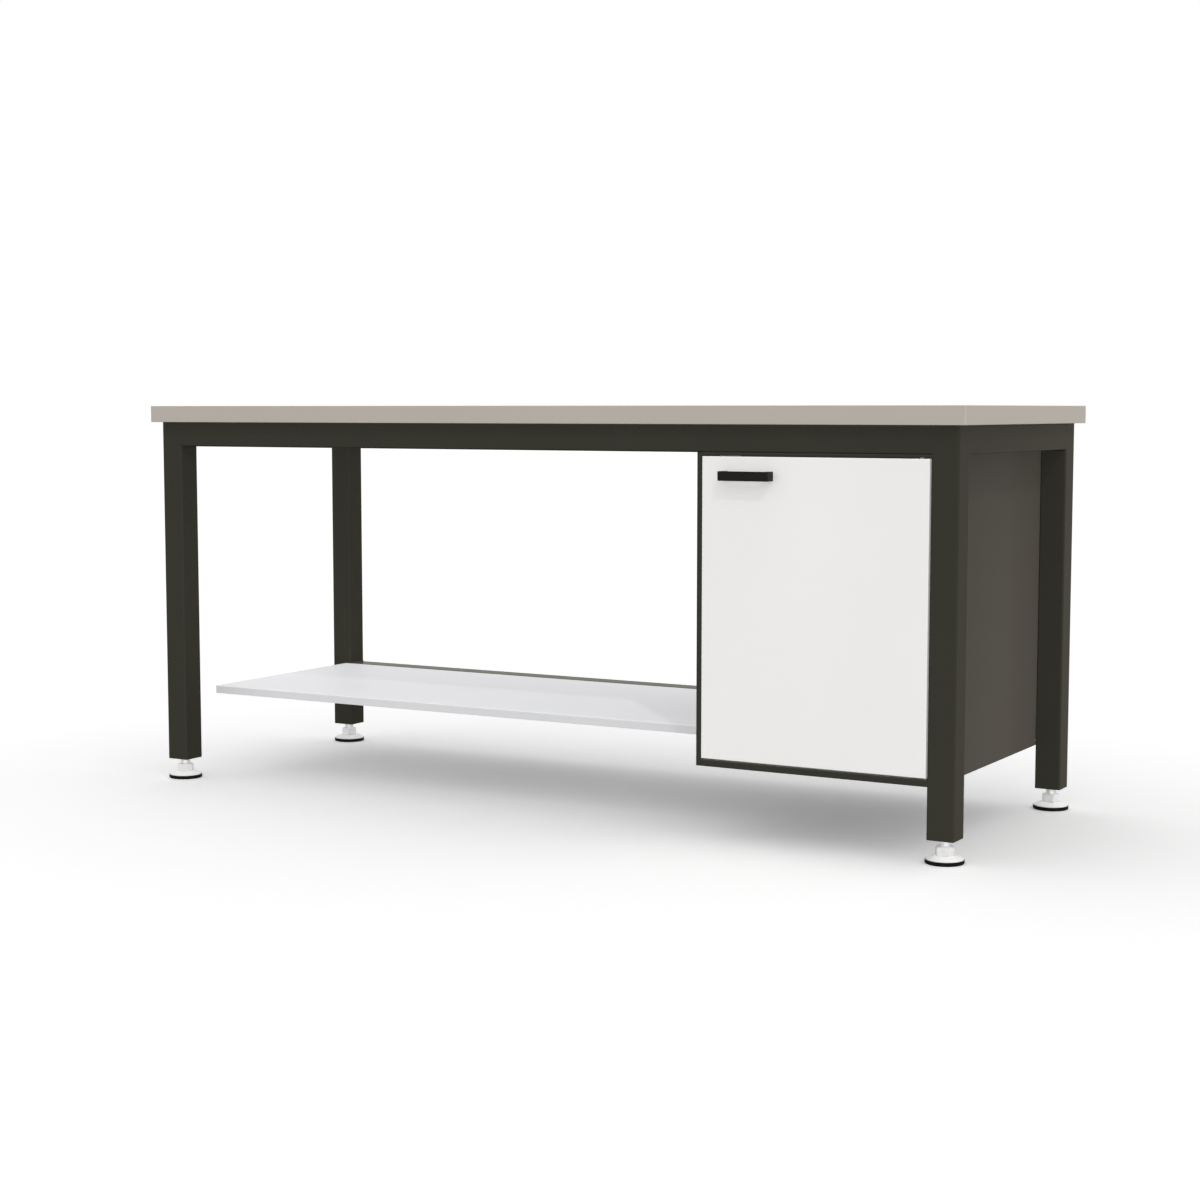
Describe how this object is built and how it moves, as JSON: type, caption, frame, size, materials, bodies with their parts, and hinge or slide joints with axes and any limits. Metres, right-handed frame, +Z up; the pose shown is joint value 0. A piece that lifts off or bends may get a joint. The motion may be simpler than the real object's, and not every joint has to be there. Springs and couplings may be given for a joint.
{
  "type": "workbench with under-bench storage",
  "caption": "Free-standing workbench: laminate top on a square-tube frame with levelling feet, a hinged-door cupboard under one end and an open steel shelf under the rest.",
  "frame": {"origin": "on the floor, under the middle of the bench's bounding box", "axes": "+X to the right along the bench, +Y to the rear, +Z up; the door faces -Y"},
  "size_m": [2.14, 0.8, 0.94],
  "materials": {
    "frame_paint": "fine satin powder coat, dark olive grey",
    "cabinet_paint": "fine satin powder coat, dark olive grey, a little lighter than the frame",
    "door_paint": "smooth satin powder coat, warm white",
    "shelf_paint": "smooth satin powder coat, pale grey",
    "worktop_laminate": "matt laminate, grey beige, fine pearl texture",
    "backing_laminate": "plain white backing laminate",
    "worktop_edging": "matt edging in the colour of the laminate",
    "chipboard": "raw pressed board",
    "handle_plastic": "matt black moulded plastic",
    "foot_rubber": "matt black rubber",
    "foot_plate_coat": "pale grey satin coat",
    "zinc_steel": "bright zinc plate",
    "nylon": "dark grey nylon",
    "catch_plastic": "pale grey moulded plastic"
  },
  "bodies": {
    "frame": {"arm_bolts": "zinc_steel", "cabinet_back": "cabinet_paint", "cabinet_bottom": "cabinet_paint", "cabinet_hanger": "cabinet_paint", "cabinet_left_liner": "cabinet_paint", "cabinet_left_panel": "cabinet_paint", "cabinet_right_liner": "cabinet_paint", "cabinet_right_panel": "cabinet_paint", "cabinet_screws": "zinc_steel", "cabinet_shelf": "cabinet_paint", "cabinet_top": "cabinet_paint", "catch_magnet": "catch_plastic", "centre_cross_rail": "frame_paint", "cleat_screws": "zinc_steel", "foot_socket_front_left": "zinc_steel", "foot_socket_front_right": "zinc_steel", "foot_socket_rear_left": "zinc_steel", "foot_socket_rear_right": "zinc_steel", "front_top_rail": "frame_paint", "hinge_pin_bottom": "zinc_steel", "hinge_pin_top": "zinc_steel", "left_top_rail": "frame_paint", "leg_front_left": "frame_paint", "leg_front_right": "frame_paint", "leg_rear_left": "frame_paint", "leg_rear_right": "frame_paint", "lower_shelf": "shelf_paint", "rear_lower_rail": "frame_paint", "rear_top_rail": "frame_paint", "right_top_rail": "frame_paint", "shelf_arm_left": "frame_paint", "shelf_arm_middle": "frame_paint", "shelf_arm_right": "frame_paint", "shelf_cleat": "frame_paint", "shelf_clips": "zinc_steel", "worktop_backer": "backing_laminate", "worktop_core": "chipboard", "worktop_edging": "worktop_edging", "worktop_laminate": "worktop_laminate", "worktop_screws": "zinc_steel"},
    "door": {"door_front": "door_paint", "door_liner": "door_paint", "door_handle": "handle_plastic", "handle_screws": "zinc_steel", "hinge_bush_top": "nylon", "hinge_bush_bottom": "nylon", "catch_strike": "zinc_steel"},
    "foot_front_left": {"foot_pad_front_left": "foot_rubber", "foot_plate_front_left": "foot_plate_coat", "foot_spindle_front_left": "zinc_steel"},
    "foot_front_right": {"foot_pad_front_right": "foot_rubber", "foot_plate_front_right": "foot_plate_coat", "foot_spindle_front_right": "zinc_steel"},
    "foot_rear_left": {"foot_pad_rear_left": "foot_rubber", "foot_plate_rear_left": "foot_plate_coat", "foot_spindle_rear_left": "zinc_steel"},
    "foot_rear_right": {"foot_pad_rear_right": "foot_rubber", "foot_plate_rear_right": "foot_plate_coat", "foot_spindle_rear_right": "zinc_steel"}
  },
  "joints": [
    {"name": "door_hinge", "type": "hinge", "parent": "frame", "child": "door", "pos_m": [0.967, -0.36, 0.504], "axis": [0, 0, 1], "range_deg": [0, 110]},
    {"name": "foot_height_front_left", "type": "slide", "parent": "frame", "child": "foot_front_left", "axis": [0, 0, 1], "range_m": [-0.025, 0.012]},
    {"name": "foot_height_front_right", "type": "slide", "parent": "frame", "child": "foot_front_right", "axis": [0, 0, 1], "range_m": [-0.025, 0.012]},
    {"name": "foot_height_rear_left", "type": "slide", "parent": "frame", "child": "foot_rear_left", "axis": [0, 0, 1], "range_m": [-0.025, 0.012]},
    {"name": "foot_height_rear_right", "type": "slide", "parent": "frame", "child": "foot_rear_right", "axis": [0, 0, 1], "range_m": [-0.025, 0.012]}
  ]
}
